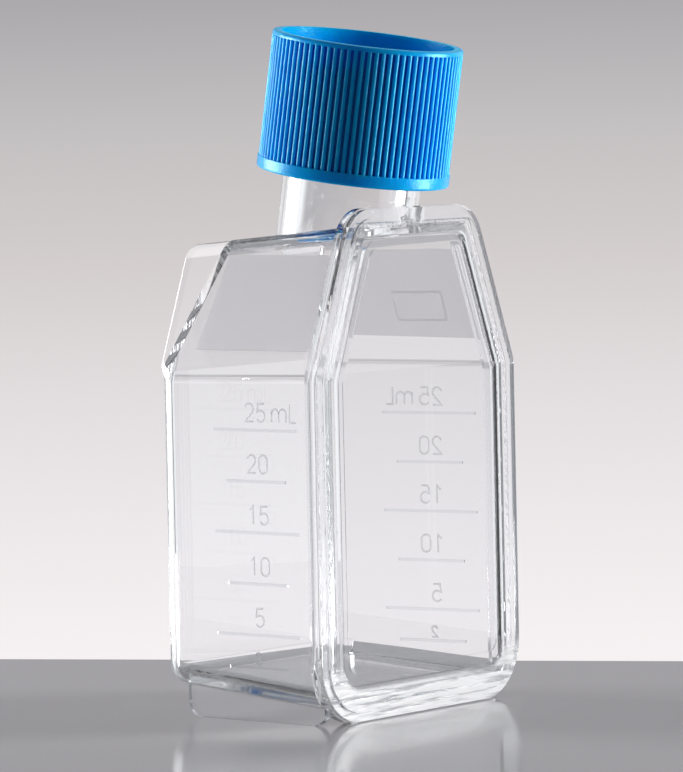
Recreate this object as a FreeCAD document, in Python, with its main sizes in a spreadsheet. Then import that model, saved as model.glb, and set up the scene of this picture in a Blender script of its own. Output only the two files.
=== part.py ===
import FreeCAD, Part
import math
import os
import Sketcher

doc = FreeCAD.newDocument("cell_culture_flask")
sheet = doc.addObject("Spreadsheet::Sheet", "Sizes")

# name, value, meaning (mm and degrees); the sheet holds every driving size
SIZES = [
    ("flange_width", 44.6, "width over the welded flange"),
    ("flange_height", 66.0, "height of the welded flange"),
    ("flange_top_width", 27.6, "width of the flange at its top edge"),
    ("shoulder_height", 45.0, "height where the sides start to lean in"),
    ("flange_corner", 8.0, "corner radius of the flange at the ground"),
    ("flange_top_corner", 5.5, "corner radius of the flange at its top edge"),
    ("flange_bend", 4.0, "radius of the flange at the shoulder"),
    ("flange_reach", 2.2, "how far the flange stands out past the tray walls"),
    ("rim_depth", 1.05, "thickness of the tray's own flange"),
    ("tray_depth", 28.5, "tray from its flange face to the outside of its back wall"),
    ("floor_drop", 0.45, "how much less the flange stands out past the tray's end wall"),
    ("draft", 4.8, "draft of the tray walls in degrees"),
    ("wall", 1.3, "wall of the tray"),
    ("tray_corner", 3.0, "outside radius of the tray's upright corners"),
    ("back_round", 2.6, "outside radius round the back wall"),
    ("fin_round", 0.5, "outside radius along the back edge of the shoulder fins"),
    ("fin_top_round", 1.2, "outside radius at the top of the shoulder fins"),
    ("ramp_angle", 21.6, "lean of the shoulder part of the back wall in degrees"),
    ("web", 1.2, "thickness of the shoulder fins and the skirt webs"),
    ("skirt_inset", 4.4, "how far the skirt webs stop short of the back wall"),
    ("skirt_corner", 2.0, "radius of the skirt webs' lower corner"),
    ("skirt_front_corner", 3.0, "radius of their lower corner behind the flange"),
    ("plate_depth", 1.05, "thickness of the plate's flange"),
    ("weld_gap", 0.03, "seam between plate and tray"),
    ("plate_lap", 0.15, "how far the plate's edge stops short of the tray flange"),
    ("frame_width", 5.6, "width of the raised frame at the window's sides"),
    ("frame_foot", 0.8, "how much wider the frame is below the window"),
    ("frame_head", 0.4, "how much narrower the frame is above the window"),
    ("window_corner", 1.6, "corner radius of the window"),
    ("window_sink", 0.4, "how far the window lies below the frame"),
    ("window_step_width", 1.2, "width of the step between frame and window"),
    ("window_step_sink", 0.2, "how far that step lies below the frame"),
    ("frame_step", 1.2, "width of the low step round the frame's outside"),
    ("frame_step_sink", 0.3, "how far that step lies below the frame"),
    ("window_lean", 0.9, "lean of the window above the shoulder in degrees"),
    ("plug_clearance", 0.3, "gap between the plate's locating rib and the walls"),
    ("plug_wall", 1.1, "width of the plate's locating rib"),
    ("plug_depth", 1.6, "height of the plate's locating rib"),
    ("neck_place", 10.1, "depth of the neck axis behind the tray flange's seam"),
    ("neck_lean", 9.6, "lean of the neck towards the plate in degrees"),
    ("neck_radius", 9.1, "outside radius of the neck"),
    ("bore_radius", 7.1, "inside radius of the neck"),
    ("neck_length", 20.4, "neck from the top wall to the mouth along its axis"),
    ("lip_round", 0.6, "radius of the mouth's edges"),
    ("thread_pitch", 3.5, "rise of the thread in one turn"),
    ("thread_height", 0.9, "height of the neck's thread"),
    ("thread_foot", 1.7, "width of the thread ridge at its foot"),
    ("thread_crest", 0.8, "width of the thread ridge at its crest"),
    ("neck_thread_start", 11.0, "middle of the neck's thread where it starts"),
    ("neck_thread_turns", 1.75, "turns of the neck's thread"),
    ("cap_thread_turns", 1.5, "turns of the cap's thread"),
    ("cap_running_gap", 0.3, "gap between cap bore and thread crest"),
    ("cap_start", 6.3, "lower edge of the cap above the top wall along the axis"),
    ("cap_wall", 1.8, "wall of the cap inside its ribs"),
    ("rib_height", 0.45, "height of the grip ribs"),
    ("rib_width", 0.42, "width of a grip rib at its foot"),
    ("rib_count", 86, "number of grip ribs"),
    ("ring_height", 1.6, "height of the cap's lower ring"),
    ("ring_reach", 0.15, "how far the lower ring stands out past the ribs"),
    ("cap_rim_height", 0.6, "height of the plain rim above the ribs"),
    ("cap_edge_round", 0.35, "radius of the cap's outer edges"),
    ("ring_edge_round", 0.1, "radius of the lower ring's upper edge"),
    ("recess_depth", 2.8, "depth of the well in the cap's top"),
    ("recess_wall", 1.2, "width of the cap's rim round the well"),
    ("roof_thickness", 1.1, "thickness of the cap's roof"),
    ("seal_gap", 0.1, "gap between the roof and the mouth of the neck"),
    ("vent_radius", 1.5, "radius of a vent hole"),
    ("vent_circle", 3.9, "radius of the circle of vent holes"),
    ("vent_count", 6, "vent holes round the middle one"),
    ("membrane_radius", 6.3, "radius of the filter disc"),
    ("membrane_thickness", 0.25, "thickness of the filter disc"),
    ("membrane_gap", 0.05, "film of glue between filter disc and roof"),
    ("mark_zero", 4.6, "height at which the scale would read zero"),
    ("mark_step", 6.63, "height of five millilitres on the scale"),
    ("mark_low", 7.0, "height of the lowest mark"),
    ("mark_middle", 11.5, "depth of the middle of the marks behind the seam"),
    ("mark_long", 14.4, "length of a long mark"),
    ("mark_short", 10.2, "length of a short mark"),
    ("mark_line", 0.35, "width of a mark"),
    ("mark_relief", 0.18, "how far a mark stands out"),
    ("origin_depth", 11.1, "depth of the origin behind the seam"),
]
for row, (alias, value, meaning) in enumerate(SIZES, start=1):
    sheet.set("A%d" % row, alias)
    sheet.set("B%d" % row, str(value))
    sheet.set("C%d" % row, meaning)
    sheet.setAlias("B%d" % row, alias)
doc.recompute()


def size(alias):
    """Number the sheet holds under an alias."""
    return float(sheet.get(alias))


def cell(alias):
    """Name of a sheet cell as an expression writes it."""
    return "Sizes." + alias


def bind(thing, **sizes):
    """Tie properties of an object to expressions over the sheet."""
    for prop, expression in sizes.items():
        thing.setExpression(prop.replace("__", "."), expression)
    return thing


def make(kind, name, **sizes):
    """Add an object and tie its sizes."""
    return bind(doc.addObject(kind, name), **sizes)


def boolean(kind, name, first, second):
    """Cut or common of two objects."""
    result = doc.addObject("Part::" + kind, name)
    result.Base = first
    result.Tool = second
    return result


def fuse(name, shapes):
    """Union of several objects."""
    result = doc.addObject("Part::MultiFuse", name)
    result.Shapes = shapes
    return result


def rounded(name, base, radii):
    """Fillet of a base; radii is a function from an edge to its radius or 0."""
    doc.recompute()
    picked = []
    for number, edge in enumerate(base.Shape.Edges, start=1):
        radius = radii(edge)
        if radius > 0:
            picked.append((number, radius, radius))
    result = doc.addObject("Part::Fillet", name)
    result.Base = base
    result.Edges = picked
    return result


# --- outlines of the tray and the plate ------------------------------------
# All outlines are one six-sided shape moved inwards by an inset. The slope is
# how fast the sides lean in above the shoulder; the stretch is how much wider
# a square offset measures across that slope.
SLOPE = "(({0} - {1}) / 2 / ({2} - {3}))".format(
    cell("flange_width"), cell("flange_top_width"), cell("flange_height"), cell("shoulder_height"))
STRETCH = "sqrt(1 + {0} * {0})".format(SLOPE)
slope = (size("flange_width") - size("flange_top_width")) / 2 / (size("flange_height") - size("shoulder_height"))
stretch = math.sqrt(1 + slope * slope)


def outline(name, inset, depth, top_rise="0", low_rise="0"):
    """Six-sided sketch in the XZ plane, inset from the flange, at a given depth."""
    sketch = doc.addObject("Sketcher::SketchObject", name)
    sketch.Placement = FreeCAD.Placement(FreeCAD.Vector(0, 0, 0), FreeCAD.Rotation(FreeCAD.Vector(1, 0, 0), 90))
    sketch.setExpression("Placement.Base.y", depth)
    half = size("flange_width") / 2
    bend = size("shoulder_height")
    top = size("flange_height")
    start = [(-half, 0), (half, 0), (half, bend), (half / 2, top), (-half / 2, top), (-half, bend)]
    for number in range(6):
        first = FreeCAD.Vector(start[number][0], start[number][1], 0)
        second = FreeCAD.Vector(start[(number + 1) % 6][0], start[(number + 1) % 6][1], 0)
        sketch.addGeometry(Part.LineSegment(first, second), False)
    for number in range(6):
        sketch.addConstraint(Sketcher.Constraint("Coincident", number, 2, (number + 1) % 6, 1))
    for left, right in ((0, 1), (5, 2), (4, 3)):
        sketch.addConstraint(Sketcher.Constraint("Symmetric", left, 1, right, 1, -2))
    wide = "({0} - 2 * ({1}))".format(cell("flange_width"), inset)
    bend_at = "({0} - ({1}) * ({2} - 1) / {3})".format(cell("shoulder_height"), inset, STRETCH, SLOPE)
    top_at = "({0} - ({1}) + ({2}))".format(cell("flange_height"), inset, top_rise)
    top_wide = "({0} - 2 * {1} * ({2} - {3}) - 2 * ({4}) * {5})".format(
        cell("flange_width"), SLOPE, top_at, cell("shoulder_height"), inset, STRETCH)
    named = [
        ("wide", Sketcher.Constraint("DistanceX", 0, 1, 0, 2, 2 * half), wide),
        ("bend_wide", Sketcher.Constraint("DistanceX", 5, 1, 2, 1, 2 * half), wide),
        ("top_wide", Sketcher.Constraint("DistanceX", 4, 1, 3, 1, half), top_wide),
        ("bend_at", Sketcher.Constraint("DistanceY", -1, 1, 2, 1, bend), bend_at),
        ("top_at", Sketcher.Constraint("DistanceY", -1, 1, 3, 1, top), top_at),
        ("rise", Sketcher.Constraint("DistanceY", 0, 2, 1, 2, bend),
         "{0} - (({1}) - ({2}))".format(bend_at, inset, low_rise)),
    ]
    for label, constraint, expression in named:
        index = sketch.addConstraint(constraint)
        sketch.renameConstraint(index, label)
        sketch.setExpression("Constraints." + label, expression)
    return sketch


def extrude(name, base, length, taper=None):
    """Solid from an outline, straight back, with the walls leaning in by taper."""
    solid = doc.addObject("Part::Extrusion", name)
    solid.Base = base
    solid.DirMode = "Custom"
    solid.Dir = FreeCAD.Vector(0, 1, 0)
    solid.Solid = True
    solid.setExpression("LengthFwd", length)
    if taper:
        solid.setExpression("TaperAngle", taper)
    return solid


def runs_back(edge):
    """True for an edge that joins the front outline to the back one."""
    return abs(edge.Vertexes[0].Y - edge.Vertexes[-1].Y) > 0.05


def corner_radius(edge, low, middle, top):
    """Radius for an edge that runs back: at the foot, the shoulder or the top."""
    height = edge.Vertexes[0].Z
    bend = size("shoulder_height")
    if abs(height - bend) < 4:
        return middle
    return low if height < bend else top


SEAM = "0"
INWARD = "-" + cell("draft")
outer_inset = cell("flange_reach")
inner_inset = "({0} + {1})".format(cell("flange_reach"), cell("wall"))
web_inset = "({0} + {1})".format(cell("flange_reach"), cell("web"))

# --- flask body -------------------------------------------------------------
# Depth runs along +Y from the seam between plate and tray, so the plate has
# negative depths. Everything is moved to the part's origin at the end.
floor_drop = cell("floor_drop")
tray_outline = outline("tray_outline", outer_inset, SEAM, low_rise=floor_drop)
tray_block = extrude("tray_block", tray_outline, cell("tray_depth"), INWARD)


def tray_radii(edge):
    if runs_back(edge):
        return size("tray_corner")
    if edge.Vertexes[0].Y > size("tray_depth") - 0.1:
        if edge.BoundBox.XLength > 0.5 and edge.BoundBox.ZLength > 0.5:
            return size("fin_round")
        return size("fin_top_round") if edge.BoundBox.ZMin > size("shoulder_height") + 5 else size("back_round")
    return 0


tray_outside = rounded("tray_outside", tray_block, tray_radii)

cavity_outline = outline("cavity_outline", inner_inset, SEAM, low_rise=floor_drop)
cavity_block = extrude(
    "cavity_block", cavity_outline, "({0} - {1})".format(cell("tray_depth"), cell("wall")), INWARD)


def cavity_radii(edge):
    if runs_back(edge):
        return size("tray_corner") - size("wall")
    if edge.Vertexes[0].Y > size("tray_depth") - size("wall") - 0.1:
        return size("back_round") - size("wall")
    return 0


cavity_round = rounded("cavity_round", cavity_block, cavity_radii)


def lean_box(name, sink):
    """Everything behind the leaning shoulder part of the back wall."""
    box = make(
        "Part::Box", name,
        Length="2 * " + cell("flange_width"),
        Width=cell("tray_depth"),
        Height=cell("flange_height"),
    )
    box.Placement = FreeCAD.Placement(FreeCAD.Vector(0, 0, 0), FreeCAD.Rotation(FreeCAD.Vector(1, 0, 0), 21))
    bind(
        box,
        Placement__Base__x="-" + cell("flange_width"),
        Placement__Base__y="{0} - ({1}) * cos({2}) + ({3}) * sin({2})".format(
            cell("tray_depth"), sink, cell("ramp_angle"), sink),
        Placement__Base__z="{0} - ({1}) * sin({2}) - ({3}) * cos({2})".format(
            cell("shoulder_height"), sink, cell("ramp_angle"), sink),
        Placement__Rotation__Angle=cell("ramp_angle"),
    )
    return box


# the well behind the leaning wall, between the two fins
well_outline = outline("well_outline", web_inset, SEAM, top_rise="4 * " + cell("web"))
well_block = extrude("well_block", well_outline, "2 * " + cell("tray_depth"), INWARD)
well = boolean("Common", "well", well_block, lean_box("lean_outside", "0"))
tray_walls = boolean("Cut", "tray_walls", tray_outside, well)
cavity = boolean("Cut", "cavity", cavity_round, lean_box("lean_inside", cell("wall")))

# the tray's own flange
rim_block = extrude("rim_block", outline("rim_outline", "0", SEAM), cell("rim_depth"))


def rim_radii(edge):
    if not runs_back(edge):
        return 0
    return corner_radius(edge, size("flange_corner"), size("flange_bend"), size("flange_top_corner"))


rim = rounded("rim", rim_block, rim_radii)

# skirt webs: the side walls carried on below the raised end wall to the ground
skirt_outside = extrude(
    "skirt_outside",
    outline("skirt_outline", outer_inset, SEAM, low_rise="3 * " + cell("flange_reach")),
    cell("tray_depth"), INWARD)
skirt_inside = extrude(
    "skirt_inside",
    outline("skirt_hollow", web_inset, SEAM, low_rise="{0} + 2 * {1}".format(web_inset, cell("flange_reach"))),
    cell("tray_depth"), INWARD)
skirt_ring = boolean("Cut", "skirt_ring", skirt_outside, skirt_inside)
skirt_box = make(
    "Part::Box", "skirt_box",
    Length="2 * " + cell("flange_width"),
    Width="{0} - {1}".format(cell("tray_depth"), cell("skirt_inset")),
    Height="{0} + {1} * tan({2}) + {3}".format(
        cell("flange_reach"), cell("tray_depth"), cell("draft"), cell("tray_corner")),
    Placement__Base__x="-" + cell("flange_width"),
)


def skirt_radii(edge):
    low = max(vertex.Z for vertex in edge.Vertexes) < 0.1
    runs_across = abs(edge.Vertexes[0].X - edge.Vertexes[-1].X) > 1
    if not (low and runs_across):
        return 0
    return size("skirt_corner") if edge.Vertexes[0].Y > 1 else size("skirt_front_corner")


skirts = boolean("Common", "skirts", skirt_ring, rounded("skirt_limit", skirt_box, skirt_radii))

# --- neck ---------------------------------------------------------------------
# The neck, its bore and its thread are made upright round the Z axis, with zero
# at the level of the top wall, and then tilted together.
TOP_WALL = "({0} - {1})".format(cell("flange_height"), cell("flange_reach"))
SUNK = "(3 * {0})".format(cell("wall"))


def tilt(thing, along="0", depth_shift="0"):
    """Put an upright object on the neck's leaning axis, a distance along it."""
    thing.Placement = FreeCAD.Placement(FreeCAD.Vector(0, 0, 0), FreeCAD.Rotation(FreeCAD.Vector(1, 0, 0), 9))
    return bind(
        thing,
        Placement__Base__y="{0} - ({1}) * sin({2}) - ({3})".format(
            cell("neck_place"), along, cell("neck_lean"), depth_shift),
        Placement__Base__z="{0} + ({1}) * cos({2})".format(TOP_WALL, along, cell("neck_lean")),
        Placement__Rotation__Angle=cell("neck_lean"),
    )


neck_block = make(
    "Part::Cylinder", "neck_block",
    Radius=cell("neck_radius"), Height="{0} + {1}".format(cell("neck_length"), SUNK))
neck_round = rounded(
    "neck_round", neck_block,
    lambda edge: size("lip_round") if edge.Closed and edge.BoundBox.ZMin > size("neck_length") else 0)
tilt(neck_round, along="-" + SUNK)
bore = tilt(
    make("Part::Cylinder", "bore", Radius=cell("bore_radius"),
         Height="{0} + 2 * {1}".format(cell("neck_length"), SUNK)),
    along="-" + SUNK)


def thread_ridge(name, turns, foot_radius, outward):
    """Ridge of the thread: a trapezium swept along a right-hand helix."""
    pitch = size("thread_pitch")
    crest_radius = foot_radius + outward * size("thread_height")
    buried = foot_radius - outward * size("thread_height") / 3
    foot = size("thread_foot") / 2
    crest = size("thread_crest") / 2
    helix = Part.makeHelix(pitch, pitch * turns, foot_radius)
    corners = [(buried, -foot), (foot_radius, -foot), (crest_radius, -crest),
               (crest_radius, crest), (foot_radius, foot), (buried, foot), (buried, -foot)]
    profile = Part.makePolygon([FreeCAD.Vector(radius, 0, height) for radius, height in corners])
    ridge = doc.addObject("Part::Feature", name)
    ridge.Shape = Part.Wire(helix.Edges).makePipeShell([profile], True, True)
    return ridge


neck_thread = tilt(
    thread_ridge("neck_thread", size("neck_thread_turns"), size("neck_radius"), 1),
    along=cell("neck_thread_start"))

# --- scale marks on both narrow sides ----------------------------------------
DRAFT_RATE = "tan({0})".format(cell("draft"))


def mark(name, height, length):
    """Raised bar lying on the leaning side wall at a height."""
    front = "({0} - ({1}) / 2)".format(cell("mark_middle"), length)
    sunk = "({0} / 3)".format(cell("wall"))
    bar = make(
        "Part::Box", name,
        Length=length, Width="{0} + {1}".format(cell("mark_relief"), sunk), Height=cell("mark_line"))
    bar.Placement = FreeCAD.Placement(FreeCAD.Vector(0, 0, 0), FreeCAD.Rotation(FreeCAD.Vector(0, 0, 1), 85))
    return bind(
        bar,
        Placement__Base__x="-({0} / 2 - {1} - ({2}) * {3}) + {4} * cos({5})".format(
            cell("flange_width"), cell("flange_reach"), front, DRAFT_RATE, sunk, cell("draft")),
        Placement__Base__y="{0} - {1} * sin({2})".format(front, sunk, cell("draft")),
        Placement__Base__z="{0} - {1} / 2".format(height, cell("mark_line")),
        Placement__Rotation__Angle="90 - " + cell("draft"),
    )


marks = [mark("mark_lowest", cell("mark_low"), cell("mark_short"))]
for step in range(1, 6):
    marks.append(mark(
        "mark_%d" % (5 * step),
        "({0} + {1} * {2})".format(cell("mark_zero"), step, cell("mark_step")),
        cell("mark_long") if step % 2 else cell("mark_short")))
left_marks = fuse("left_marks", marks)
right_marks = doc.addObject("Part::Mirroring", "right_marks")
right_marks.Source = left_marks
right_marks.Normal = FreeCAD.Vector(1, 0, 0)

body_outside = fuse(
    "body_outside", [tray_walls, rim, skirts, neck_round, neck_thread, left_marks, right_marks])
body_hollow = fuse("body_hollow", [cavity, bore])
flask_body = boolean("Cut", "flask_body", body_outside, body_hollow)
bind(flask_body, Placement__Base__y="-" + cell("origin_depth"))

# --- plate ----------------------------------------------------------------------
PLATE_FRONT = "(-{0} - {1})".format(cell("weld_gap"), cell("plate_depth"))
STEP_INSET = "({0} + {1})".format(cell("plate_lap"), cell("frame_step"))


def plate_layer(name, inset, depth, length, corners, taper=None, top_rise="0", low_rise="0"):
    """Layer of the plate; corners are its radii at the foot, the shoulder and the top."""
    block = extrude(name + "_block", outline(name + "_outline", inset, depth, top_rise, low_rise), length, taper)
    return rounded(name, block, lambda edge: corner_radius(edge, *corners) if runs_back(edge) else 0)


def flange_corners(inset):
    """Radii of the flange's own corners, measured on an outline inside it."""
    return [size(alias) - inset for alias in ("flange_corner", "flange_bend", "flange_top_corner")]


def window_layer(name, length, sign=0, alias="window_sink"):
    """Hollow over the window, wider or narrower than it by a named size."""
    return plate_layer(
        name, "({0} - ({1}) * {2})".format(cell("frame_width"), sign, cell(alias)), PLATE_FRONT, length,
        [size("window_corner") + sign * size(alias)] * 3,
        top_rise=cell("frame_head"), low_rise="(-{0})".format(cell("frame_foot")))


lower_layer = plate_layer(
    "lower_layer", cell("plate_lap"), PLATE_FRONT + " + " + cell("frame_step_sink"),
    "{0} - {1}".format(cell("plate_depth"), cell("frame_step_sink")),
    flange_corners(size("plate_lap")))
upper_layer = plate_layer(
    "upper_layer", STEP_INSET, PLATE_FRONT, cell("plate_depth"),
    flange_corners(size("plate_lap") + size("frame_step")))
window = window_layer("window", cell("window_sink"))
window_step = window_layer("window_step", cell("window_step_sink"), 1, "window_step_width")
deep_window = window_layer("deep_window", "2 * " + cell("window_sink"), -1)
lean_limit = make(
    "Part::Box", "lean_limit",
    Length="2 * " + cell("flange_width"), Width=cell("plate_depth"), Height=cell("flange_height"))
lean_limit.Placement = FreeCAD.Placement(FreeCAD.Vector(0, 0, 0), FreeCAD.Rotation(FreeCAD.Vector(1, 0, 0), -1))
bind(
    lean_limit,
    Placement__Base__x="-" + cell("flange_width"),
    Placement__Base__y="{0} + {1} - {2}".format(PLATE_FRONT, cell("window_sink"), cell("plate_depth")),
    Placement__Base__z=cell("shoulder_height"),
    Placement__Rotation__Angle="-" + cell("window_lean"),
)
window_lean = boolean("Common", "window_lean_cut", deep_window, lean_limit)
PLUG_INSET = "({0} + {1})".format(inner_inset, cell("plug_clearance"))
plug = plate_layer(
    "plug", PLUG_INSET, "-" + cell("weld_gap"), cell("plug_depth"),
    [size("tray_corner") - size("wall") - size("plug_clearance")] * 3, INWARD, low_rise=floor_drop)
plug_hollow = plate_layer(
    "plug_hollow", "({0} + {1})".format(PLUG_INSET, cell("plug_wall")),
    "{0} - {1}".format(cell("window_sink"), cell("weld_gap")), cell("plug_depth"),
    [(size("tray_corner") - size("wall")) / 2] * 3, INWARD, low_rise=floor_drop)
plate_solid = fuse("plate_solid", [lower_layer, upper_layer, plug])
plate_hollow = fuse("plate_hollow", [window, window_step, window_lean, plug_hollow])
top_plate = boolean("Cut", "top_plate", plate_solid, plate_hollow)
bind(top_plate, Placement__Base__y="-" + cell("origin_depth"))

# --- screw cap, made upright like the neck ------------------------------------
CREST = "({0} + {1})".format(cell("neck_radius"), cell("thread_height"))
CAP_BORE = "({0} + {1})".format(CREST, cell("cap_running_gap"))
CAP_ROOT = "({0} + {1})".format(CAP_BORE, cell("cap_wall"))
CAP_OUT = "({0} + {1})".format(CAP_ROOT, cell("rib_height"))
ROOF_UNDER = "({0} + {1})".format(cell("neck_length"), cell("seal_gap"))
WELL_FLOOR = "({0} + {1})".format(ROOF_UNDER, cell("roof_thickness"))
CAP_TOP = "({0} + {1})".format(WELL_FLOOR, cell("recess_depth"))


def disc(name, radius, low, high):
    """Upright cylinder between two levels."""
    return make(
        "Part::Cylinder", name,
        Radius=radius, Height="{0} - {1}".format(high, low), Placement__Base__z=low)


def edge_level(edge):
    return edge.BoundBox.ZMin if edge.Closed and edge.BoundBox.ZLength < 0.01 else None


cap_ring_block = disc(
    "cap_ring_block", "({0} + {1})".format(CAP_OUT, cell("ring_reach")), cell("cap_start"),
    "({0} + {1})".format(cell("cap_start"), cell("ring_height")))


def ring_radii(edge):
    if edge_level(edge) is None:
        return 0
    upper = edge_level(edge) > cap_ring_block.Placement.Base.z + 0.1
    return size("ring_edge_round") if upper else size("cap_edge_round")


cap_ring = rounded("cap_ring", cap_ring_block, ring_radii)
RIB_TOP = "({0} - {1})".format(CAP_TOP, cell("cap_rim_height"))
cap_rim_block = disc("cap_rim_block", CAP_OUT, RIB_TOP, CAP_TOP)
cap_rim = rounded(
    "cap_rim", cap_rim_block,
    lambda edge: size("cap_edge_round") if (edge_level(edge) or 0) > cap_rim_block.Placement.Base.z + 0.1 else 0)

cap_root = size("neck_radius") + size("thread_height") + size("cap_running_gap") + size("cap_wall")
rib_total = int(size("rib_count"))
rib_edges = []


def on_circle(radius, angle):
    return FreeCAD.Vector(radius * math.cos(angle), radius * math.sin(angle), 0)


for rib in range(rib_total):
    middle = 2 * math.pi * rib / rib_total
    following = 2 * math.pi * (rib + 1) / rib_total
    half_rib = size("rib_width") / 2 / cap_root
    rib_edges.append(Part.Arc(
        on_circle(cap_root, middle - half_rib),
        on_circle(cap_root + size("rib_height"), middle),
        on_circle(cap_root, middle + half_rib)).toShape())
    rib_edges.append(Part.Arc(
        on_circle(cap_root, middle + half_rib),
        on_circle(cap_root, (middle + following) / 2),
        on_circle(cap_root, following - half_rib)).toShape())
rib_outline = doc.addObject("Part::Feature", "rib_outline")
rib_outline.Shape = Part.Face(Part.Wire(rib_edges))
rib_outline.setExpression("Placement.Base.z", "{0} + {1} / 2".format(cell("cap_start"), cell("ring_height")))
ribs = doc.addObject("Part::Extrusion", "ribs")
ribs.Base = rib_outline
ribs.DirMode = "Custom"
ribs.Dir = FreeCAD.Vector(0, 0, 1)
ribs.Solid = True
ribs.setExpression(
    "LengthFwd", "{0} + ({1} - {2}) / 2 - {3} - {4} / 2".format(
        RIB_TOP, cell("cap_rim_height"), cell("cap_edge_round"), cell("cap_start"), cell("ring_height")))

cap_solid = fuse("cap_solid", [cap_ring, cap_rim, ribs])
cap_bore = disc("cap_bore", CAP_BORE, "(-{0})".format(cell("cap_start")), ROOF_UNDER)
cap_well = disc(
    "cap_well", "({0} - {1})".format(CAP_OUT, cell("recess_wall")), WELL_FLOOR, "({0} + 1)".format(CAP_TOP))
cap_cuts = [cap_bore, cap_well]
for vent in range(int(size("vent_count")) + 1):
    hole = disc("vent_%d" % vent, cell("vent_radius"), "({0} - 1)".format(ROOF_UNDER), "({0} + 1)".format(WELL_FLOOR))
    if vent:
        turn = 360.0 * vent / size("vent_count")
        bind(
            hole,
            Placement__Base__x="{0} * cos({1})".format(cell("vent_circle"), turn),
            Placement__Base__y="{0} * sin({1})".format(cell("vent_circle"), turn),
        )
    cap_cuts.append(hole)
cap_hollow = fuse("cap_hollow", cap_cuts)
cap_shell = boolean("Cut", "cap_shell", cap_solid, cap_hollow)
cap_thread = thread_ridge(
    "cap_thread", size("cap_thread_turns"),
    size("neck_radius") + size("thread_height") + size("cap_running_gap"), -1)
bind(cap_thread, Placement__Base__z="{0} - {1} / 2".format(cell("neck_thread_start"), cell("thread_pitch")))
screw_cap = tilt(fuse("screw_cap", [cap_shell, cap_thread]), depth_shift=cell("origin_depth"))

# --- filter disc under the roof --------------------------------------------------
filter_membrane = tilt(
    make("Part::Cylinder", "filter_membrane", Radius=cell("membrane_radius"), Height=cell("membrane_thickness")),
    along="({0} - {1} - {2})".format(ROOF_UNDER, cell("membrane_gap"), cell("membrane_thickness")),
    depth_shift=cell("origin_depth"))

# --- check and write ------------------------------------------------------------------
doc.recompute()
failed = [thing.Name for thing in doc.Objects if "Invalid" in thing.State or "Error" in thing.State]
if failed:
    raise RuntimeError("not built: " + ", ".join(failed))
pieces = [flask_body, top_plate, screw_cap, filter_membrane]
for piece in pieces:
    if piece.Shape.isNull() or not piece.Shape.isValid():
        raise RuntimeError("bad shape: " + piece.Label)
    if len(piece.Shape.Solids) != 1:
        raise RuntimeError("%s has %d solids" % (piece.Label, len(piece.Shape.Solids)))
os.makedirs("parts", exist_ok=True)
whole = FreeCAD.BoundBox()
for piece in pieces:
    piece.Shape.exportStep("parts/%s.step" % piece.Label)
    box = piece.Shape.optimalBoundingBox(True, False)
    whole.add(box)
    print(piece.Label, "volume %.1f" % piece.Shape.Volume, "x %.2f..%.2f y %.2f..%.2f z %.2f..%.2f" % (
        box.XMin, box.XMax, box.YMin, box.YMax, box.ZMin, box.ZMax))
print("whole y centre %.3f, z %.2f..%.2f" % ((whole.YMin + whole.YMax) / 2, whole.ZMin, whole.ZMax))
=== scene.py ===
import math

import bmesh
import bpy
from mathutils import Matrix, Vector


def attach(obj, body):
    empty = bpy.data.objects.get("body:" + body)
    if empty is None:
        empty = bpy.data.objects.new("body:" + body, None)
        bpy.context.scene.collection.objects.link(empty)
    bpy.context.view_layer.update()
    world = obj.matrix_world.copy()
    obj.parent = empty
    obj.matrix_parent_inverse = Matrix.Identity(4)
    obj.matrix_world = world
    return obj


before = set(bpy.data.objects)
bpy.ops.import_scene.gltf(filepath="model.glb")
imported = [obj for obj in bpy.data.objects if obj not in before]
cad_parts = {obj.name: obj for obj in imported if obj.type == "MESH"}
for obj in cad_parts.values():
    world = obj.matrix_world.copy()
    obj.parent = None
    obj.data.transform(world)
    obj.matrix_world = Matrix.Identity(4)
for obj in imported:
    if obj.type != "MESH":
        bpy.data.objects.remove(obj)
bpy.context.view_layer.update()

# --- Flask body ---------------------------------------------------------------
# The tray of the flask: one injection moulding of clear polystyrene with the neck,
# the skirt webs and the scale in one piece. Its shoulder sides are left frosted by
# the mould so that they can be written on, and the scale stands out a little.
DRAFT = math.radians(4.8)
SEAM_Y = -0.0111
WALL_X = 0.0201
BEND_Z = 0.0446
SIDE_SLOPE = 0.4048
POLYSTYRENE_IOR = 1.59
CLEAR = (0.985, 0.99, 1.0, 1)
FROSTED = (0.57, 0.55, 0.58, 1)
FROSTED_ROUGHNESS = 0.42
MARK_GREY = (0.74, 0.76, 0.80, 1)
# each edge of a patch goes from a place where it is not there to one where it is
PATCH_LOWER_EDGE = (0.04785, 0.04815)
PATCH_UPPER_EDGE = (0.0602, 0.0600)
PATCH_NEAR_EDGE = (-0.0092, -0.0090)
PATCH_FOOT_Z = 0.048
PATCH_FAR_Y = 0.01175
PATCH_FAR_SLOPE = 0.19
PATCH_FAR_FADE = 0.0003
OUTER_SKIN = (-0.0007, -0.0005)
MARK_OUT = (0.00008, 0.00014)
MARK_UPPER_EDGE = (0.0446, 0.0440)
MARK_NEAR_EDGE = (-0.0098, -0.0096)
GRAIN_DEPTH = 0.00002
WAVE_DEPTH = 0.000007


def feed(tree, node, **inputs):
    """Sets or links inputs by name, or by number as i0, i1 and so on."""
    for name, value in inputs.items():
        by_number = name[0] == "i" and name[1:].isdigit()
        socket = node.inputs[int(name[1:]) if by_number else name.replace("_", " ")]
        if isinstance(value, bpy.types.NodeSocket):
            tree.links.new(value, socket)
        else:
            socket.default_value = value


def add_node(tree, kind, settings=None, **inputs):
    """Node with its settings and its input values or links."""
    node = tree.nodes.new(kind)
    for name, value in (settings or {}).items():
        setattr(node, name, value)
    feed(tree, node, **inputs)
    return node


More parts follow.
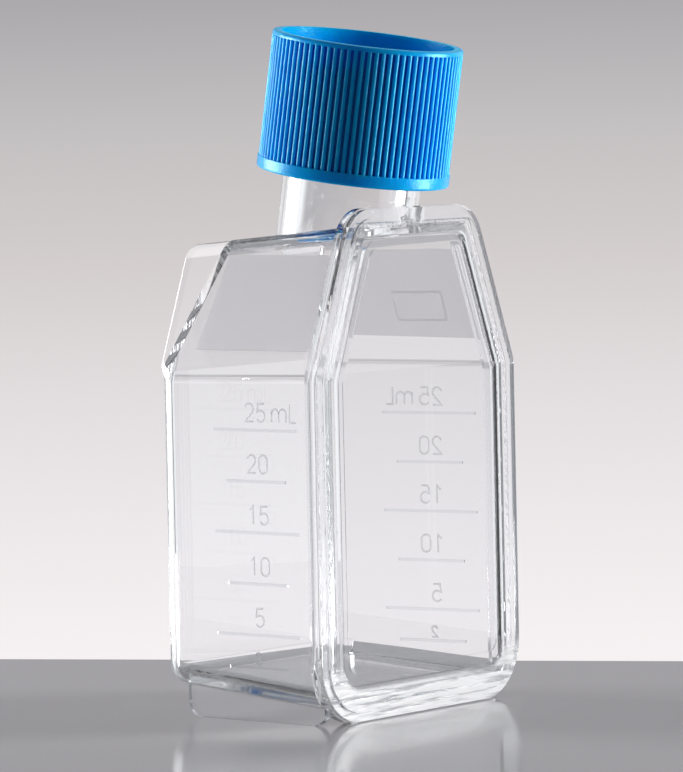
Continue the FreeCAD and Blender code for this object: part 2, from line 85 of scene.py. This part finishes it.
def calc(tree, operation, first, second=0.0, third=0.0):
    """Result of one arithmetic step on numbers or sockets."""
    node = add_node(tree, "ShaderNodeMath", {"operation": operation}, i0=first, i1=second, i2=third)
    return node.outputs[0]


def product(tree, first, *others):
    """All the factors multiplied together."""
    for other in others:
        first = calc(tree, "MULTIPLY", first, other)
    return first


def step_up(tree, value, low, high):
    """0 on the low side, 1 on the high side, smooth between; low may be the larger number."""
    node = add_node(
        tree, "ShaderNodeMapRange", {"interpolation_type": "SMOOTHSTEP"}, i0=value, i1=low, i2=high)
    return node.outputs[0]


def blend(tree, share, first, second):
    """Colour between two others, each a value or a link."""
    node = add_node(tree, "ShaderNodeMix", {"data_type": "RGBA"}, Factor=share, A=first, B=second)
    return node.outputs["Result"]


def new_material(name):
    """Empty material: its tree, its surface shader and the place of each point in the frame."""
    material = bpy.data.materials.new(name)
    material.use_nodes = True
    tree = material.node_tree
    shader = tree.nodes["Principled BSDF"]
    place = add_node(tree, "ShaderNodeTexCoord").outputs["Object"]
    return material, tree, shader, place


def noise(tree, place, scale, detail=2.0, roughness=0.5, stretch=(1, 1, 1)):
    """Noise over the surface, stretched along the axes."""
    mapping = add_node(tree, "ShaderNodeMapping", Vector=place, Scale=stretch)
    texture = add_node(
        tree, "ShaderNodeTexNoise",
        Vector=mapping.outputs[0], Scale=scale, Detail=detail, Roughness=roughness)
    return texture.outputs["Fac"]


def bump(tree, height, depth, under=None):
    """Bump of a real depth in metres, on top of another one if given."""
    node = add_node(tree, "ShaderNodeBump", Height=height, Strength=1.0, Distance=depth)
    if under is not None:
        feed(tree, node, Normal=under)
    return node.outputs[0]


def moulded_waves(tree, place, under):
    """The slight waviness of a clear moulding, on top of finer bumps."""
    return bump(tree, noise(tree, place, 90, 1.0, 0.4), WAVE_DEPTH, under)


def clear_polystyrene(name):
    """Clear, faintly cool polystyrene."""
    material, tree, shader, place = new_material(name)
    feed(tree, shader, Base_Color=CLEAR, Transmission_Weight=1.0, IOR=POLYSTYRENE_IOR, Roughness=0.0)
    return material, tree, shader, place


def side_of(tree, place):
    """Coordinates of a point on the tray: y, z and how far out of the side wall it is."""
    split = add_node(tree, "ShaderNodeSeparateXYZ", Vector=place)
    x = calc(tree, "ABSOLUTE", split.outputs[0])
    y = split.outputs[1]
    z = split.outputs[2]
    depth = calc(tree, "SUBTRACT", y, SEAM_Y)
    wall = calc(tree, "SUBTRACT", WALL_X, calc(tree, "MULTIPLY", depth, math.tan(DRAFT)))
    lean = calc(tree, "MAXIMUM", calc(tree, "SUBTRACT", z, BEND_Z), 0.0)
    wall = calc(tree, "SUBTRACT", wall, calc(tree, "MULTIPLY", lean, SIDE_SLOPE))
    return y, z, calc(tree, "SUBTRACT", x, wall)


def coat(node_name, material):
    """Gives a solid its material."""
    for material_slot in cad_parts[node_name].material_slots:
        material_slot.material = material


body_clear, tree, shader, place = clear_polystyrene("clear polystyrene, tray")
y, z, out = side_of(tree, place)
# writing patch on the two leaning shoulder sides, on the outer skin only
patch_end = calc(
    tree, "SUBTRACT", PATCH_FAR_Y,
    calc(tree, "MULTIPLY", calc(tree, "SUBTRACT", z, PATCH_FOOT_Z), PATCH_FAR_SLOPE))
patch = product(
    tree,
    step_up(tree, z, *PATCH_LOWER_EDGE),
    step_up(tree, z, *PATCH_UPPER_EDGE),
    step_up(tree, out, *OUTER_SKIN),
    step_up(tree, y, *PATCH_NEAR_EDGE),
    step_up(tree, calc(tree, "SUBTRACT", patch_end, y), 0.0, PATCH_FAR_FADE))
# the raised scale marks look a little greyer than the wall
raised = product(
    tree,
    step_up(tree, out, *MARK_OUT),
    step_up(tree, z, *MARK_UPPER_EDGE),
    step_up(tree, y, *MARK_NEAR_EDGE))
# the frosted skin is matt and holds some of the light back
grain = noise(tree, place, 6000, 2.0, 0.6)
grained = bump(tree, calc(tree, "MULTIPLY", grain, patch), GRAIN_DEPTH)
feed(
    tree, shader,
    Base_Color=blend(tree, raised, blend(tree, patch, CLEAR, FROSTED), MARK_GREY),
    Roughness=calc(tree, "MULTIPLY", patch, FROSTED_ROUGHNESS),
    Normal=moulded_waves(tree, place, grained))
coat("flask_body", body_clear)

# --- Scale numbers --------------------------------------------------------------
# Narrow raised figures over the marks, part of the same moulding, on both narrow sides.
# They read the right way round from outside, and their strokes are low rounded ridges.
STROKE_WIDTH = 0.00028
STROKE_RELIEF = 0.00005
# section of a ridge, from side to side: share of half its width, share of its height
RIDGE_SECTION = ((-1, -0.3), (-0.8, 0.3), (-0.4, 0.8), (0, 1.0), (0.4, 0.8), (0.8, 0.3), (1, -0.3))
RIDGE_END_SHARE = 0.1
MITRE_LIMIT = 0.5
ARC_PARTS = 12
MARK_ZERO = 0.0046
MARK_STEP = 0.00663
LOW_MARK = 0.0070
HAZE_DARK = (0.70, 0.72, 0.76, 1)
HAZE_LIGHT = (0.95, 0.96, 1.0, 1)
# each figure in a box one unit high: its width and its strokes, as runs of points; an arc is
# (centre x, centre y, radius x, radius y, from degrees, to degrees)
FIGURES = {
    "0": (0.60, [[("arc", 0.30, 0.70, 0.30, 0.30, 0, 180), ("arc", 0.30, 0.30, 0.30, 0.30, 180, 360),
                  (0.60, 0.70)]]),
    "1": (0.60, [[(0.12, 0.78), (0.36, 1.0), (0.36, 0.0)]]),
    "2": (0.60, [[("arc", 0.30, 0.71, 0.29, 0.29, 165, -38), (0.0, 0.0), (0.60, 0.0)]]),
    "5": (0.60, [[(0.56, 1.0), (0.08, 1.0), (0.04, 0.55), ("arc", 0.29, 0.31, 0.31, 0.31, 118, -150)]]),
    "m": (1.05, [[(0.0, 0.0), (0.0, 0.72)],
                 [("arc", 0.26, 0.46, 0.26, 0.26, 180, 0), (0.52, 0.0)],
                 [("arc", 0.785, 0.46, 0.265, 0.26, 180, 0), (1.05, 0.0)]]),
    "L": (0.47, [[(0.0, 1.0), (0.0, 0.0), (0.47, 0.0)]]),
    " ": (0.0, []),
}
FIGURE_GAP = 0.25
FIGURE_RISE = 0.0011
FIGURE_HEIGHT = 0.00235
LOW_FIGURE_RISE = 0.0005
LOW_FIGURE_HEIGHT = 0.00145
# words, height of their feet, height of the figures, where they start behind the seam left and right
NUMBERS = [
    ("25 mL", MARK_ZERO + 5 * MARK_STEP + FIGURE_RISE, FIGURE_HEIGHT, 0.0132, 0.0094),
    ("20", MARK_ZERO + 4 * MARK_STEP + FIGURE_RISE, FIGURE_HEIGHT, 0.0130, 0.00955),
    ("15", MARK_ZERO + 3 * MARK_STEP + FIGURE_RISE, FIGURE_HEIGHT, 0.0130, 0.00955),
    ("10", MARK_ZERO + 2 * MARK_STEP + FIGURE_RISE, FIGURE_HEIGHT, 0.0130, 0.00955),
    ("5", MARK_ZERO + MARK_STEP + FIGURE_RISE, FIGURE_HEIGHT, 0.0121, 0.0100),
    ("2", LOW_MARK + LOW_FIGURE_RISE, LOW_FIGURE_HEIGHT, 0.0122, 0.01075)]


def run_points(run):
    """Points of one stroke, with its arcs drawn out."""
    points = []
    for step in run:
        if step[0] == "arc":
            _, centre_x, centre_y, radius_x, radius_y, start, end = step
            for part in range(ARC_PARTS + 1):
                angle = math.radians(start + (end - start) * part / ARC_PARTS)
                points.append(
                    Vector((centre_x + radius_x * math.cos(angle), centre_y + radius_y * math.sin(angle))))
        else:
            points.append(Vector(step))
    return points


def ridge(shape, points, to_place, height):
    """Low rounded ridge along a stroke, running out almost flat at its ends."""
    half = STROKE_WIDTH / 2
    start = points[0] + (points[1] - points[0]).normalized() * half
    end = points[-1] + (points[-2] - points[-1]).normalized() * half
    points = [points[0], start] + points[1:-1] + [end, points[-1]]
    rings = []
    for number, point in enumerate(points):
        at_end = number in (0, len(points) - 1)
        relief = height * (RIDGE_END_SHARE if at_end else 1.0)
        before = point - points[number - 1] if number else points[1] - point
        after = points[number + 1] - point if number + 1 < len(points) else before
        along_both = before.normalized() + after.normalized()
        across = Vector((-along_both.y, along_both.x)).normalized()
        # at a corner the ridge widens along the mitre to keep its width
        across /= max(MITRE_LIMIT, across.dot(Vector((-before.y, before.x)).normalized()))
        ring = []
        for aside, up in RIDGE_SECTION:
            flat = point + across * (half * aside)
            ring.append(shape.verts.new(to_place @ Vector((*flat, up * relief))))
        rings.append(ring)
    for first, second in zip(rings, rings[1:]):
        for corner in range(len(RIDGE_SECTION)):
            following = (corner + 1) % len(RIDGE_SECTION)
            shape.faces.new((first[corner], first[following], second[following], second[corner]))
    shape.faces.new(reversed(rings[0]))
    shape.faces.new(rings[-1])


def add_marking(name, shape):
    """Finished piece of raised lettering or trim, carried by the flask."""
    bmesh.ops.recalc_face_normals(shape, faces=shape.faces[:])
    mesh = bpy.data.meshes.new(name)
    shape.to_mesh(mesh)
    shape.free()
    mesh.shade_smooth()
    mesh.materials.append(number_clear)
    marking = bpy.data.objects.new(name, mesh)
    bpy.context.collection.objects.link(marking)
    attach(marking, "flask")


# they are only told from the wall by a faint white haze
number_clear, tree, shader, place = new_material("clear polystyrene, raised numbers")
haze = noise(tree, place, 3000, 2.0, 0.6)
feed(
    tree, shader, Base_Color=blend(tree, haze, HAZE_DARK, HAZE_LIGHT), Roughness=0.30, Alpha=0.25,
    Normal=bump(tree, haze, 0.00001))
for side in (-1, 1):
    outward = Vector((side * math.cos(DRAFT), math.sin(DRAFT), 0))
    along = Vector((0, 0, 1)).cross(outward)
    upright = Matrix((along, Vector((0, 0, 1)), outward)).transposed().to_4x4()
    for words, foot_height, figure_height, start_left, start_right in NUMBERS:
        shape = bmesh.new()
        reach = 0.0
        start_depth = start_left if side < 0 else start_right
        wall_x = WALL_X - start_depth * math.tan(DRAFT)
        corner = Vector((side * wall_x, SEAM_Y + start_depth, foot_height))
        for letter in words:
            width, strokes = FIGURES[letter]
            for run in strokes:
                points = [
                    Vector(((point.x + reach) * figure_height, point.y * figure_height))
                    for point in run_points(run)]
                ridge(shape, points, Matrix.Translation(corner) @ upright, STROKE_RELIEF)
            reach += width + FIGURE_GAP
        add_marking("number_%s_%s" % (words.split()[0], "left" if side < 0 else "right"), shape)

# an empty outline for a label, on the leaning shoulder side at the right
LABEL_LOW, LABEL_HIGH = 0.0505, 0.0543
LABEL_NEAR, LABEL_FAR = 0.0066, 0.0142
LABEL_RELIEF = 0.00006
outward = Vector((1, math.tan(DRAFT), SIDE_SLOPE)).normalized()
along = Vector((0, 1, 0)) - outward * outward.y
along.normalize()
upright = Matrix((along, outward.cross(along), outward)).transposed().to_4x4()
label_x = WALL_X - LABEL_NEAR * math.tan(DRAFT) - (LABEL_LOW - BEND_Z) * SIDE_SLOPE
label_corner = Vector((label_x, SEAM_Y + LABEL_NEAR, LABEL_LOW))
label_wide = LABEL_FAR - LABEL_NEAR
label_tall = (LABEL_HIGH - LABEL_LOW) * math.sqrt(1 + SIDE_SLOPE * SIDE_SLOPE)
label_corners = [(0, 0), (label_wide, 0), (label_wide, label_tall), (0, label_tall)]
shape = bmesh.new()
for start, end in zip(label_corners, label_corners[1:] + label_corners[:1]):
    ridge(shape, [Vector(start), Vector(end)], Matrix.Translation(label_corner) @ upright, LABEL_RELIEF)
add_marking("label_outline", shape)

# --- Top plate ---------------------------------------------------------------------
# A flat plate of the same clear polystyrene, welded on to the tray all round. The
# weld leaves a rough bead inside the frame, and the frame itself is stepped.
HALF_WIDTH = 0.0223
PLATE_TOP = 0.066
SHOULDER_Z = 0.045
LOWER_CORNER = 0.008
LEAN_STRETCH = math.sqrt(1 + SIDE_SLOPE * SIDE_SLOPE)
# where the bead lies, measured in from the plate's edge and out from the seam
BEAD_OUTER_EDGE = (0.0018, 0.0020)
BEAD_INNER_EDGE = (0.0027, 0.0025)
BEAD_SKIN = (SEAM_Y - 0.0004, SEAM_Y - 0.0003)
BEAD_DEPTH = 0.0001
BEAD_ROUGHNESS = 0.15
SCUFF_INNER_EDGE = (0.0047, 0.0038)
SCUFF_UPPER_EDGE = (0.0090, 0.0040)
SCUFF_SKIN = (SEAM_Y - 0.0002, SEAM_Y - 0.0004)
SCUFF_LEAST, SCUFF_GAIN = 0.25, 0.40
SCUFF_DEPTH = 0.00004
SCUFF_ROUGHNESS = 0.3
STREAK_STRETCH = (0.06, 1, 1)

plate_clear, tree, shader, place = clear_polystyrene("clear polystyrene, plate")
split = add_node(tree, "ShaderNodeSeparateXYZ", Vector=place)
x = calc(tree, "ABSOLUTE", split.outputs[0])
y = split.outputs[1]
z = split.outputs[2]
# how far in from the plate's outline a point is
past_shoulder = calc(tree, "SUBTRACT", z, SHOULDER_Z)
leaning = calc(tree, "SUBTRACT", HALF_WIDTH, calc(tree, "MULTIPLY", past_shoulder, SIDE_SLOPE))
leaning = calc(tree, "DIVIDE", calc(tree, "SUBTRACT", leaning, x), LEAN_STRETCH)
inset = calc(tree, "MINIMUM", calc(tree, "SUBTRACT", HALF_WIDTH, x), leaning)
inset = calc(tree, "MINIMUM", inset, calc(tree, "MINIMUM", z, calc(tree, "SUBTRACT", PLATE_TOP, z)))
past_side = calc(tree, "MAXIMUM", calc(tree, "SUBTRACT", x, HALF_WIDTH - LOWER_CORNER), 0.0)
past_end = calc(tree, "MAXIMUM", calc(tree, "SUBTRACT", LOWER_CORNER, z), 0.0)
squares = calc(tree, "MULTIPLY_ADD", past_side, past_side, calc(tree, "MULTIPLY", past_end, past_end))
inset = calc(tree, "MINIMUM", inset, calc(tree, "SUBTRACT", LOWER_CORNER, calc(tree, "SQRT", squares)))

bead = product(
    tree,
    step_up(tree, inset, *BEAD_OUTER_EDGE),
    step_up(tree, inset, *BEAD_INNER_EDGE),
    step_up(tree, y, *BEAD_SKIN))
dots = noise(tree, place, 1500, 2.0, 0.5)
beaded = bump(tree, calc(tree, "MULTIPLY", dots, bead), BEAD_DEPTH)
# the foot of the frame is scuffed white in streaks along the floor
streaks = step_up(tree, noise(tree, place, 1500, 3.0, 0.6, STREAK_STRETCH), 0.38, 0.56)
scuffed = product(
    tree,
    step_up(tree, inset, *SCUFF_INNER_EDGE),
    step_up(tree, z, *SCUFF_UPPER_EDGE),
    step_up(tree, y, *SCUFF_SKIN),
    calc(tree, "MULTIPLY_ADD", streaks, SCUFF_GAIN, SCUFF_LEAST))
beaded = bump(tree, calc(tree, "MULTIPLY", streaks, scuffed), SCUFF_DEPTH, beaded)
feed(
    tree, shader,
    Transmission_Weight=calc(tree, "SUBTRACT", 1.0, scuffed),
    Roughness=calc(
        tree, "MAXIMUM", calc(tree, "MULTIPLY", bead, BEAD_ROUGHNESS),
        calc(tree, "MULTIPLY", scuffed, SCUFF_ROUGHNESS)),
    Normal=moulded_waves(tree, place, beaded))
coat("top_plate", plate_clear)

# --- Screw cap ------------------------------------------------------------------------
# Moulded from blue polyethylene with fine grip ribs, a plain ring at the bottom and a
# well in the top. The surface has the slight orange peel of a soft moulding.
NECK_LEAN = math.radians(9.6)
NECK_FOOT = Vector((0, -0.001, 0.0638))
GROOVE_RADIUS, RIB_RADIUS = 0.01210, 0.01255
WELL_RADIUS = 0.0114
BLUE, PALER_BLUE = (0.0, 0.33, 0.90, 1), (0.0, 0.38, 0.96, 1)
GROOVE_PAINTED_SHADE_BLUE = (0.0, 0.07, 0.46, 1)
WELL_PAINTED_GLOW_BLUE = (0.0, 0.47, 1.0, 1)
GROOVE_PAINTED_SHADE_SHARE = 0.9
PEEL_DEPTH = 0.00005
cap_blue, tree, shader, place = new_material("blue polyethylene")
fleck = noise(tree, place, 2600, 3.0, 0.6)
clouds = step_up(tree, noise(tree, place, 350, 2.0, 0.5), 0.35, 0.65)
colour = blend(tree, clouds, BLUE, PALER_BLUE)
# distance from the leaning axis tells the grooves from the ribs
neck_axis = (0, -math.sin(NECK_LEAN), math.cos(NECK_LEAN))
offset = add_node(tree, "ShaderNodeVectorMath", {"operation": "SUBTRACT"}, i0=place, i1=NECK_FOOT)
aside = add_node(
    tree, "ShaderNodeVectorMath", {"operation": "CROSS_PRODUCT"}, i0=offset.outputs[0], i1=neck_axis)
distance = add_node(tree, "ShaderNodeVectorMath", {"operation": "LENGTH"}, i0=aside.outputs[0])
radius = distance.outputs["Value"]
# painted shade: the grooves between the ribs are darkened towards a deep blue
groove_painted_shade = product(
    tree,
    step_up(tree, radius, GROOVE_RADIUS - 0.0001, GROOVE_RADIUS),
    calc(tree, "SUBTRACT", 1.0, step_up(tree, radius, GROOVE_RADIUS + 0.00005, RIB_RADIUS - 0.0001)))
colour = blend(tree, calc(tree, "MULTIPLY", groove_painted_shade, GROOVE_PAINTED_SHADE_SHARE), colour, GROOVE_PAINTED_SHADE_BLUE)
# painted light: the wall of the well is painted a lighter blue for the light that comes through it from
# outside
colour = blend(tree, step_up(tree, radius, WELL_RADIUS + 0.0002, WELL_RADIUS), colour, WELL_PAINTED_GLOW_BLUE)
# light gets a little way into the plastic, and its thin wall glows where it is seen edge on
feed(
    tree, shader,
    Base_Color=colour,
    Roughness=calc(tree, "ADD", calc(tree, "MULTIPLY", fleck, 0.12), 0.14),
    IOR=1.51,
    Specular_Tint=(0.22, 0.70, 1.0, 1),
    Subsurface_Weight=0.6,
    Subsurface_Radius=(0.2, 0.5, 1.0),
    Subsurface_Scale=0.003,
    Sheen_Weight=0.6,
    Sheen_Roughness=0.6,
    Sheen_Tint=(0.0, 0.70, 1.0, 1),
    Normal=bump(tree, fleck, PEEL_DEPTH))
coat("screw_cap", cap_blue)

# --- Filter disc --------------------------------------------------------------------------
# A white porous disc glued under the vent holes of the cap's roof.
FIBRE_SHADE, FIBRE_WHITE = (0.80, 0.80, 0.79, 1), (0.92, 0.92, 0.91, 1)
filter_white, tree, shader, place = new_material("white filter film")
weave = noise(tree, place, 5000, 4.0, 0.7)
feed(
    tree, shader, Base_Color=blend(tree, weave, FIBRE_SHADE, FIBRE_WHITE), Roughness=0.75,
    Normal=bump(tree, weave, 0.00002))
coat("filter_membrane", filter_white)

# --- Table --------------------------------------------------------------------------------
# A pale, faintly glossy table top. Its far edge passes close behind the flask, and its
# edges are rounded.
AHEAD = Vector((0.8061, 0.5918, 0))
TABLE_THICKNESS = 0.025
TABLE_EDGE = (Vector((0.0271, 0.0831)), Vector((0.0668, -0.0093)))
TABLE_OVERRUN = 0.2
TABLE_DEPTH = 0.6
TABLE_EDGE_ROUND = 0.0015
edge_line = (TABLE_EDGE[1] - TABLE_EDGE[0]).normalized()
towards_camera = -AHEAD.xy
corners = [TABLE_EDGE[0] - edge_line * TABLE_OVERRUN, TABLE_EDGE[1] + edge_line * TABLE_OVERRUN]
corners += [corners[1] + towards_camera * TABLE_DEPTH, corners[0] + towards_camera * TABLE_DEPTH]
shape = bmesh.new()
lower = shape.faces.new([shape.verts.new((corner.x, corner.y, -TABLE_THICKNESS)) for corner in corners])
upper = bmesh.ops.extrude_face_region(shape, geom=[lower])["geom"]
upper_corners = [part for part in upper if isinstance(part, bmesh.types.BMVert)]
bmesh.ops.translate(shape, vec=(0, 0, TABLE_THICKNESS), verts=upper_corners)
bmesh.ops.bevel(shape, geom=shape.edges[:], offset=TABLE_EDGE_ROUND, segments=4, affect="EDGES")
bmesh.ops.recalc_face_normals(shape, faces=shape.faces[:])
table_mesh = bpy.data.meshes.new("table")
shape.to_mesh(table_mesh)
shape.free()
table_pale, tree, shader, place = new_material("pale table top")
smears = noise(tree, place, 40, 3.0, 0.5)
feed(
    tree, shader, Base_Color=(0.56, 0.55, 0.57, 1), IOR=1.5,
    Roughness=calc(tree, "ADD", calc(tree, "MULTIPLY", smears, 0.04), 0.10))
table_mesh.materials.append(table_pale)
table = bpy.data.objects.new("table", table_mesh)
bpy.context.collection.objects.link(table)

# --- Studio -------------------------------------------------------------------------------
# The backdrop is brightest low down and falls off upwards. Two tall soft boxes with a dark gap
# between them stand on each side of the flask, and the side towards the viewer is darker.
RIGHT = Vector((0.5918, -0.8061, 0))
MIDDLE_OF_FLASK = Vector((0, 0, 0.05))
# colour of the backdrop at steps of height
BACKDROP = [
    (0.084, (0.922, 0.880, 0.888)), (0.183, (0.847, 0.815, 0.823)), (0.282, (0.760, 0.730, 0.738)),
    (0.381, (0.658, 0.617, 0.617)), (0.480, (0.552, 0.533, 0.539)), (0.580, (0.413, 0.402, 0.418))]
# soft boxes as ranges of directions round the flask, in degrees to the right of straight ahead
SOFT_BOXES = [(18, 50), (68, 102), (-46, -18), (-104, -66)]
BOX_FADE = 4
BOX_END = (0.60, 0.50)
DARK_SIDE_FROM = (math.radians(40), math.radians(50))
CEILING_FROM = (0.10, 0.45)
BOX_WHITE = (0.97, 0.985, 1.0, 1)
DARK_GREY = (0.13, 0.14, 0.16, 1)
CEILING_GREY = (0.30, 0.31, 0.33, 1)
SURROUND_GREY = (0.55, 0.56, 0.58, 1)

world = bpy.data.worlds.new("studio")
bpy.context.scene.world = world
world.use_nodes = True
tree = world.node_tree
direction = add_node(tree, "ShaderNodeTexCoord").outputs["Generated"]
ahead = add_node(tree, "ShaderNodeVectorMath", {"operation": "DOT_PRODUCT"}, i0=direction, i1=AHEAD)
to_right = add_node(tree, "ShaderNodeVectorMath", {"operation": "DOT_PRODUCT"}, i0=direction, i1=RIGHT)
turn = calc(tree, "ARCTAN2", to_right.outputs["Value"], ahead.outputs["Value"])
height = add_node(tree, "ShaderNodeSeparateXYZ", Vector=direction).outputs[2]
ramp = add_node(
    tree, "ShaderNodeValToRGB", Fac=calc(tree, "ADD", calc(tree, "MULTIPLY", height, 4.0), 0.5))
stops = ramp.color_ramp.elements
for stop, (position, colour) in zip((stops[0], stops[1]), (BACKDROP[0], BACKDROP[-1])):
    stop.position = position
    stop.color = (*colour, 1)
for position, colour in BACKDROP[1:-1]:
    stops.new(position).color = (*colour, 1)


def soft_box(low, high):
    """Brightness of the soft box that spans a range of directions."""
    low, high, fade = math.radians(low), math.radians(high), math.radians(BOX_FADE)
    return product(
        tree,
        step_up(tree, turn, low - fade, low + fade),
        step_up(tree, calc(tree, "MULTIPLY", turn, -1.0), -high - fade, -high + fade),
        step_up(tree, calc(tree, "ABSOLUTE", height), *BOX_END))


boxes = soft_box(*SOFT_BOXES[0])
for low, high in SOFT_BOXES[1:]:
    boxes = calc(tree, "MAXIMUM", boxes, soft_box(low, high))
beside_flask = step_up(tree, calc(tree, "ABSOLUTE", turn), *DARK_SIDE_FROM)
room = blend(tree, beside_flask, ramp.outputs[0], DARK_GREY)
room = blend(tree, step_up(tree, height, *CEILING_FROM), room, CEILING_GREY)
room = blend(tree, boxes, room, BOX_WHITE)
backdrop = add_node(tree, "ShaderNodeBackground", Color=room, Strength=1.0)
surround = tree.nodes["Background"]
feed(tree, surround, Color=SURROUND_GREY, Strength=0.16)
# the backdrop is what is seen directly, mirrored and through the flask; matt surfaces are
# lit by the plain surround and the lamps instead
rays = add_node(tree, "ShaderNodeLightPath")
seen = calc(
    tree, "MAXIMUM", rays.outputs["Is Camera Ray"],
    calc(tree, "MAXIMUM", rays.outputs["Is Glossy Ray"], rays.outputs["Is Transmission Ray"]))
mixed = add_node(
    tree, "ShaderNodeMixShader", i0=seen, i1=surround.outputs[0], i2=backdrop.outputs[0])
feed(tree, tree.nodes["World Output"], Surface=mixed.outputs[0])


def soft_lamp(name, place, wide, tall, power):
    """Rectangular soft lamp turned to the flask, seen only in reflections."""
    light = bpy.data.lights.new(name, "AREA")
    light.shape = "RECTANGLE"
    light.size = wide
    light.size_y = tall
    light.energy = power
    lamp = bpy.data.objects.new(name, light)
    lamp.location = place
    lamp.rotation_euler = (MIDDLE_OF_FLASK - place).to_track_quat("-Z", "Y").to_euler()
    lamp.visible_camera = False
    lamp.visible_transmission = False
    bpy.context.collection.objects.link(lamp)


soft_lamp("lamp_right", RIGHT * 0.75 + AHEAD * 0.04 + Vector((0, 0, 0.06)), wide=0.30, tall=0.5, power=10.5)
soft_lamp("lamp_left", RIGHT * -0.70 + AHEAD * 0.27 + Vector((0, 0, 0.10)), wide=0.45, tall=0.5, power=9.5)

# light goes to and fro many times inside the clear frame before it leaves
MOST_BOUNCES = 40
cycles = bpy.context.scene.cycles
cycles.max_bounces = MOST_BOUNCES
cycles.transmission_bounces = MOST_BOUNCES
cycles.glossy_bounces = MOST_BOUNCES

# --- Camera ---------------------------------------------------------------------------------
# Almost level with the flask, turned to the edge between a narrow side and the plate.
CAMERA_PLACE = (-0.555129, -0.406964, 0.079453)
CAMERA_TURN = -53.722
CAMERA_DOWN = 3.081
CAMERA_ROLL = -1.235
camera_data = bpy.data.cameras.new("camera")
camera_data.sensor_width = 36
camera_data.lens = 244.2
camera_data.clip_end = 20
camera = bpy.data.objects.new("camera", camera_data)
bpy.context.collection.objects.link(camera)
camera.matrix_world = (
    Matrix.Translation(CAMERA_PLACE)
    @ Matrix.Rotation(math.radians(CAMERA_TURN), 4, "Z")
    @ Matrix.Rotation(math.radians(90 - CAMERA_DOWN), 4, "X")
    @ Matrix.Rotation(math.radians(CAMERA_ROLL), 4, "Z"))
bpy.context.scene.camera = camera

bpy.context.scene.view_settings.view_transform = "Standard"
bpy.context.view_layer.update()
